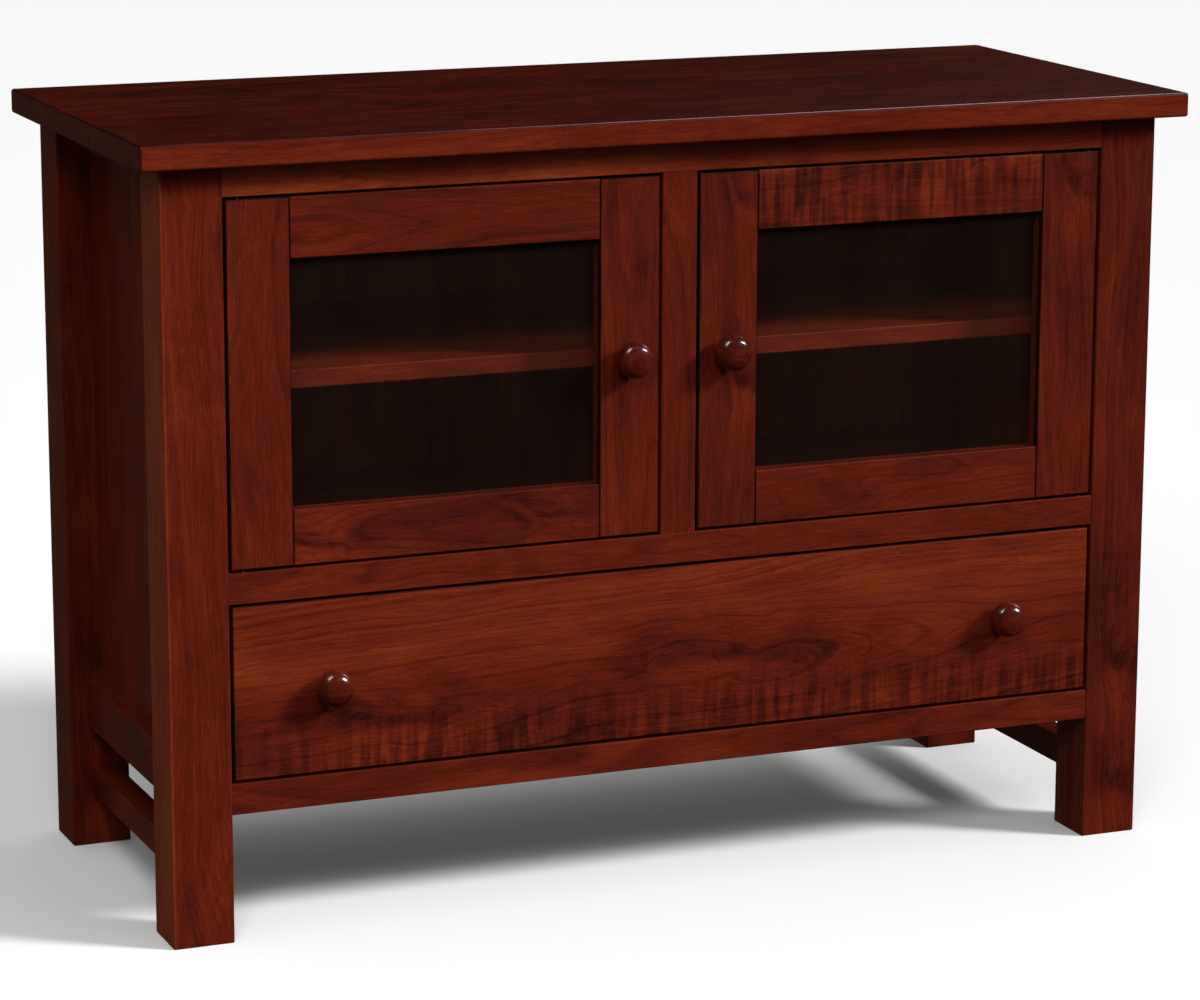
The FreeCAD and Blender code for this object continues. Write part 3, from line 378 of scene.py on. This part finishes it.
def finish_inside():
    assign("back_panel", wood("back_panel", "z", 0.60, pith=(0.03, 0.0), band=0.014, tilt=0.06,
                              bands=0.3, planks=("x", 0.30)))
    assign("centre_partition", wood("centre_partition", "z", 0.36, pith=(0.0, 0.06)))
    assign("cabinet_floor", wood("cabinet_floor", "x", 0.42, pith=(0.0, 0.06)))
    for node in ("shelf_left", "shelf_right"):
        assign(node, wood(node, "x", 0.56, pith=(0.0, 0.06)))
    for node in ("back_upper_rail", "back_lower_rail"):
        assign(node, wood(node, "x"))


def finish_doors():
    top_of_stile = half_size("door_right_outer_stile").z
    swirls = {
        "door_right_outer_stile": ((0.0, 0.0, top_of_stile - 0.035, 0.06),),
        "door_right_inner_stile": ((0.01, 0.0, top_of_stile - 0.03, 0.05), (0.01, 0.0, -0.035, 0.05)),
        "door_left_bottom_rail": ((0.10, 0.0, 0.0, 0.05), (-0.15, 0.0, -0.01, 0.05)),
    }
    curly = {"door_right_top_rail": 0.22}
    # Stile edges are darkened as painted shade in the gaps round the doors; rail ends are darkened where
    # stain pooled in the joints.
    for node in named("door_"):
        figure = swirls.get(node, ())
        if node.endswith("_stile"):
            tone = 0.45 if "right" in node else 0.50
            look = wood(node, "z", tone, pith=(0.09, 0.03), bands=0.10, edges=outline(node, "xz"),
                        swirls=figure)
            assign(node, look)
        elif node.endswith("_rail"):
            tone = 0.53 if node in curly else 0.48
            look = wood(node, "x", tone, curl=curly.get(node, 0.0), edges=outline(node, "x", DOOR_TENON),
                        swirls=figure)
            assign(node, look)
        elif node.endswith("_glass_stops"):
            assign(node, wood(node, "x"))


def finish_knobs():
    """Glossy turned knobs. The left door's shows the rings of its end grain."""
    for node in ("door_left_knob", "door_right_knob", "drawer_knobs"):
        end_grain = node == "door_left_knob"
        look = wood(node, "y" if end_grain else "x", 0.36, pith=(0.0, 0.0), band=0.0055,
                    bands=0.25 if end_grain else 0.15, gloss=0.2, coat=0.8, coat_blur=0.18, sway=0.01)
        assign(node, look)


def finish_drawer():
    node = "drawer_front"
    low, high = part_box(node)
    middle = (low + high) / 2
    half = half_size(node)
    curl_area = ("z", low.z + 0.40 * half.z, low.z + 0.96 * half.z)
    lighter_top = ("z", middle.z - 0.03, middle.z + 0.04, 0.20)
    swirls = ((0.03, -half.y, -0.005, 0.10), (-0.33, -half.y, -0.04, 0.07))
    # Its edges are darkened: painted shade on the walls of the gap round the drawer front.
    look = wood(node, "x", 0.48, pith=(0.045, 0.02), tilt=0.05, bands=0.15, rings=0.12, curl=0.20,
                curl_area=curl_area, faces=(lighter_top,), edges=outline(node, "xz"), swirls=swirls)
    assign(node, look)
    for node in ("drawer_back", "drawer_bottom"):
        assign(node, wood(node, "x", stain=CLEAR_MAPLE))
    for node in ("drawer_side_left", "drawer_side_right"):
        assign(node, wood(node, "y", stain=CLEAR_MAPLE))


# ---------------------------------------------------------------- glass, metal and plastic

def clear_glass():
    """A thin pane, nearly all see-through, with a faint smoky body that was wiped clean. The smoky body is
    a painted reflection: its lit colour stands in for the haze of reflections on the glass.
    """
    shader = Shader("clear_glass")
    wiped = shader.noise(shader.mapped(shader.place, scale=(14, 14, 5)), detail=4.0, roughness=0.6,
                         distortion=0.6).outputs["Fac"]
    # The faint body colour is a painted reflection haze.
    tint = shader.ramp(wiped, ((0.35, (0.050, 0.030, 0.022)), (0.65, (0.075, 0.045, 0.032))))
    shader.set(Base_Color=tint, Roughness=shader.spread(wiped, 0.35, 0.65, 0.01, 0.06), IOR=1.45,
               Alpha=0.06)
    return shader.material


def metal(name, colour, roughness, brushed):
    """Plated or brushed metal with fine scratches in its gloss."""
    shader = Shader(name)
    scratches = shader.noise(shader.mapped(shader.place, scale=brushed), roughness=0.6).outputs["Fac"]
    tint = shader.ramp(scratches, ((0.25, tuple(c * 0.78 for c in colour)), (0.75, colour)))
    shader.set(Base_Color=tint, Metallic=1.0,
               Roughness=shader.spread(scratches, 0.2, 0.8, roughness + 0.1, roughness),
               Normal=shader.bump(scratches, 0.08, 0.0004))
    return shader.material


def moulded_plastic():
    shader = Shader("catch_plastic")
    grain = shader.noise(shader.place, 900.0, 2.0).outputs["Fac"]
    tint = shader.ramp(grain, ((0.3, (0.020, 0.010, 0.007)), (0.7, (0.034, 0.017, 0.011))))
    shader.set(Base_Color=tint, Roughness=0.55, Normal=shader.bump(grain, 0.15, 0.0003))
    return shader.material


def finish_fittings():
    zinc = metal("zinc_steel", (0.55, 0.56, 0.58), 0.30, (900, 60, 900))
    for node in NODES:
        if "slides" in node or "bolt" in node or "strike" in node:
            assign(node, zinc)
    for node in ("shelf_pins", "wood_screws", "top_brackets"):
        assign(node, zinc)
    brass = metal("dark_brass", (0.12, 0.075, 0.040), 0.40, (60, 900, 900))
    for node in ("hinge_arms", "door_left_hinge_leaves", "door_right_hinge_leaves"):
        assign(node, brass)
    glass = clear_glass()
    for node in ("door_left_glass", "door_right_glass"):
        assign(node, glass)
    assign("door_catches", moulded_plastic())


# ---------------------------------------------------------------- floor and light

def make_floor():
    """A pale studio floor. It throws no light back, so it doesn't veil the dark wood."""
    reach = 30.0
    mesh = bpy.data.meshes.new("floor")
    corners = [(-reach, -reach, 0), (reach, -reach, 0), (reach, reach, 0), (-reach, reach, 0)]
    mesh.from_pydata(corners, [], [(0, 1, 2, 3)])
    floor = bpy.data.objects.new("floor", mesh)
    bpy.context.scene.collection.objects.link(floor)
    paint = Shader("pale_floor")
    paint.set(Base_Color=(0.95, 0.95, 0.95, 1), Roughness=0.9, Specular_IOR_Level=0.0)
    mesh.materials.append(paint.material)
    floor.visible_diffuse = False
    floor.visible_glossy = False
    floor.visible_shadow = False


def make_world():
    """A pale sky above the floor, and near darkness below it."""
    world = bpy.data.worlds.new("studio")
    world.use_nodes = True
    tree = world.node_tree
    place = tree.nodes.new("ShaderNodeTexCoord")
    split = tree.nodes.new("ShaderNodeSeparateXYZ")
    sky = tree.nodes.new("ShaderNodeMapRange")
    sky.inputs["From Min"].default_value = -0.02
    sky.inputs["From Max"].default_value = 0.02
    sky.inputs["To Min"].default_value = 0.05
    sky.inputs["To Max"].default_value = 0.45
    tree.links.new(place.outputs["Generated"], split.inputs["Vector"])
    tree.links.new(split.outputs["Z"], sky.inputs["Value"])
    tree.links.new(sky.outputs["Result"], tree.nodes["Background"].inputs["Strength"])
    tree.nodes["Background"].inputs["Color"].default_value = (1, 1, 1, 1)
    bpy.context.scene.world = world
    world.cycles_visibility.glossy = False


def softbox(name, direction, distance, size, power, fills=True, tint=(1, 1, 1)):
    """An area light that looks at the middle of the cabinet. One that doesn't fill only makes
    highlights."""
    target = (cad_low + cad_high) / 2
    lamp = bpy.data.lights.new(name, "AREA")
    lamp.shape = "RECTANGLE"
    lamp.size, lamp.size_y = size
    lamp.energy = power
    lamp.color = tint
    light = bpy.data.objects.new(name, lamp)
    away = Vector(direction).normalized()
    light.location = target + away * distance
    light.rotation_mode = "QUATERNION"
    light.rotation_quaternion = away.to_track_quat("Z", "Y")
    light.visible_diffuse = fills
    light.visible_glossy = not fills
    bpy.context.scene.collection.objects.link(light)


def make_light():
    make_world()
    sun = bpy.data.lights.new("key", "SUN")
    sun.energy = 3.2
    sun.angle = math.radians(12)
    key = bpy.data.objects.new("key", sun)
    key.rotation_mode = "QUATERNION"
    key.rotation_quaternion = Vector((0.72, -0.47, 0.515)).to_track_quat("Z", "Y")
    bpy.context.scene.collection.objects.link(key)
    softbox("front_fill", (-0.36, -0.72, 0.60), 6.0, (1.8, 1.8), 118)
    softbox("overhead_back", (0.47, 0.30, 0.83), 3.0, (0.7, 1.6), 34, fills=False)
    softbox("overhead_left", (-0.45, -0.25, 0.83), 3.0, (0.8, 1.3), 40, fills=False)
    softbox("side_sheen", (-0.38, 0.89, -0.14), 4.0, (4.0, 4.0), 2.2, fills=False, tint=(1.0, 0.70, 0.55))


make_camera()
finish_legs()
finish_face_frame()
finish_sides()
finish_top()
finish_inside()
finish_doors()
finish_knobs()
finish_drawer()
finish_fittings()
make_floor()
make_light()
bpy.context.scene.view_settings.view_transform = "Standard"
